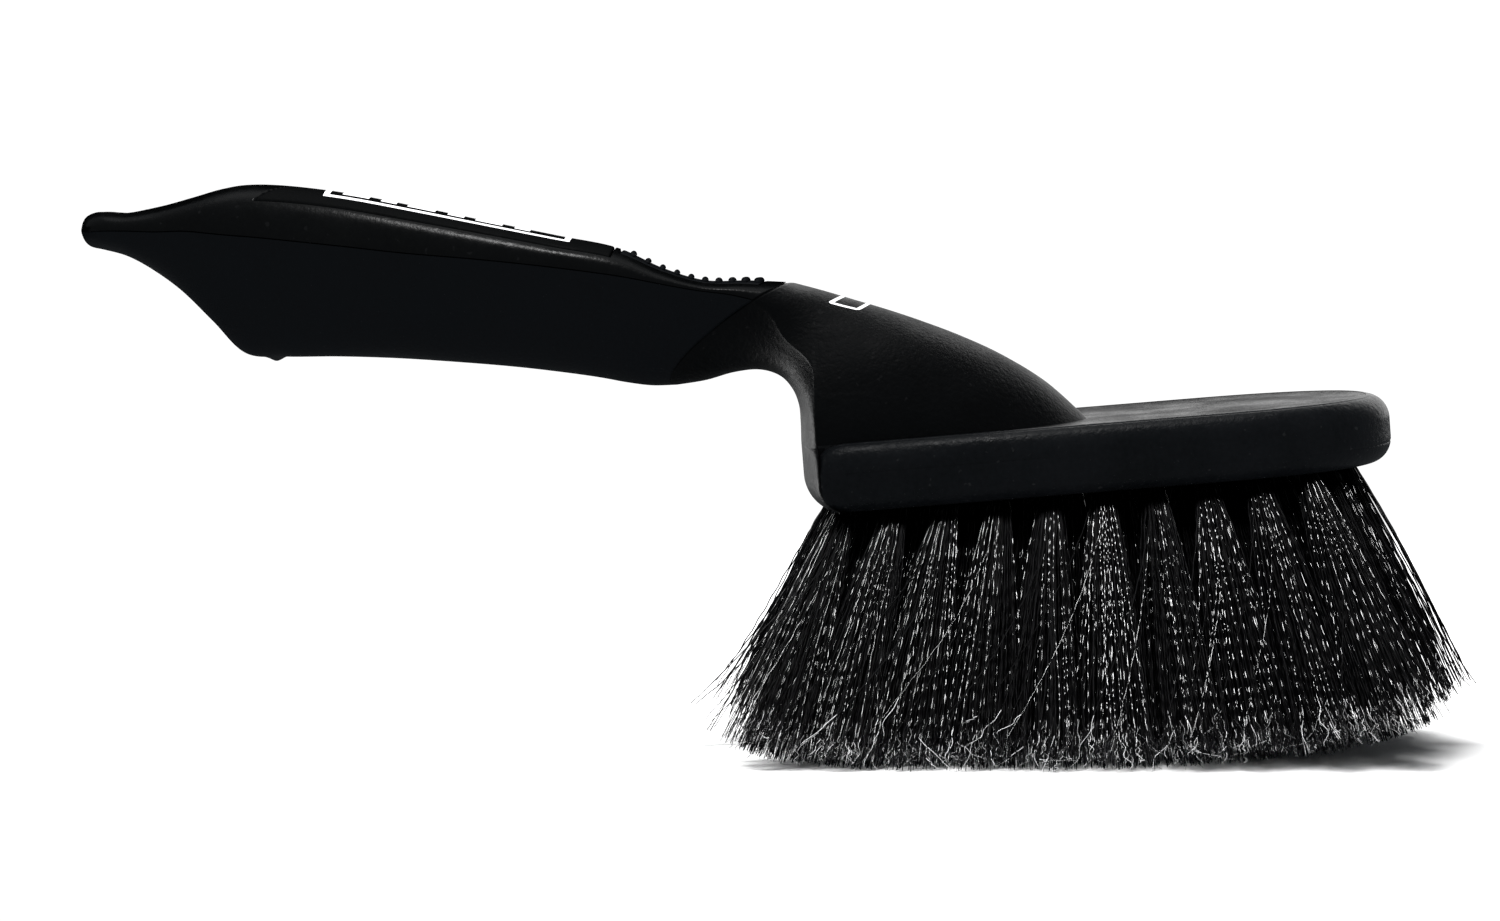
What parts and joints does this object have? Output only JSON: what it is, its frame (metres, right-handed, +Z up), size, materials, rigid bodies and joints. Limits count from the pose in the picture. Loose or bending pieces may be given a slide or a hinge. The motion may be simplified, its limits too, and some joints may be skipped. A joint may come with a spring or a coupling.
{
  "type": "wheel brush",
  "caption": "Short-handled wheel brush: an arched soft grip with a thumb rest, a round-nosed block in a rubber bumper, and flared crimped bristles in rows.",
  "frame": {"origin": "centre of the whole brush in plan, on the plane that the bristle tips stand on", "axes": "+X along the brush from the handle to the head, +Z up from the bristle tips, +Y across"},
  "size_m": [0.2902, 0.0826, 0.1363],
  "materials": {
    "satin_plastic": "satin",
    "gloss_grip": "satin",
    "soft_grip": "matte",
    "inlay_plastic": "matte",
    "block_plastic": "fine grain",
    "bumper_rubber": "satin",
    "staple_steel": "bright wire",
    "nylon": "glossy crimped filaments"
  },
  "bodies": {
    "head": {"body_core": "satin_plastic", "grip_upper_shell": "gloss_grip", "grip_lower_shell": "soft_grip", "label_inlay": "inlay_plastic", "thumb_rest": "soft_grip", "brush_block": "block_plastic", "bumper": "bumper_rubber", "staples_row_1": "staple_steel", "staples_row_2": "staple_steel", "staples_row_3": "staple_steel", "staples_row_4": "staple_steel", "staples_row_5": "staple_steel", "tuft_roots_row_1": "nylon", "tuft_roots_row_2": "nylon", "tuft_roots_row_3": "nylon", "tuft_roots_row_4": "nylon", "tuft_roots_row_5": "nylon"},
    "row_1": {"tufts_row_1": "nylon"},
    "row_2": {"tufts_row_2": "nylon"},
    "row_3": {"tufts_row_3": "nylon"},
    "row_4": {"tufts_row_4": "nylon"},
    "row_5": {"tufts_row_5": "nylon"}
  },
  "joints": [
    {"name": "sway_row_1", "type": "hinge", "parent": "head", "child": "row_1", "pos_m": [0.0665, -0.0204, 0.053], "axis": [1, 0, 0], "range_deg": [-15, 15], "stiffness_Nm_per_rad": 0.5},
    {"name": "sway_row_2", "type": "hinge", "parent": "head", "child": "row_2", "pos_m": [0.0665, -0.0102, 0.053], "axis": [1, 0, 0], "range_deg": [-15, 15], "stiffness_Nm_per_rad": 0.5},
    {"name": "sway_row_3", "type": "hinge", "parent": "head", "child": "row_3", "pos_m": [0.0665, 0, 0.053], "axis": [1, 0, 0], "range_deg": [-15, 15], "stiffness_Nm_per_rad": 0.5},
    {"name": "sway_row_4", "type": "hinge", "parent": "head", "child": "row_4", "pos_m": [0.0665, 0.0102, 0.053], "axis": [1, 0, 0], "range_deg": [-15, 15], "stiffness_Nm_per_rad": 0.5},
    {"name": "sway_row_5", "type": "hinge", "parent": "head", "child": "row_5", "pos_m": [0.0665, 0.0204, 0.053], "axis": [1, 0, 0], "range_deg": [-15, 15], "stiffness_Nm_per_rad": 0.5}
  ],
  "couplings": [
    {"joint": "sway_row_1", "follows": "sway_row_3", "ratio": 1},
    {"joint": "sway_row_2", "follows": "sway_row_3", "ratio": 1},
    {"joint": "sway_row_4", "follows": "sway_row_3", "ratio": 1},
    {"joint": "sway_row_5", "follows": "sway_row_3", "ratio": 1}
  ]
}
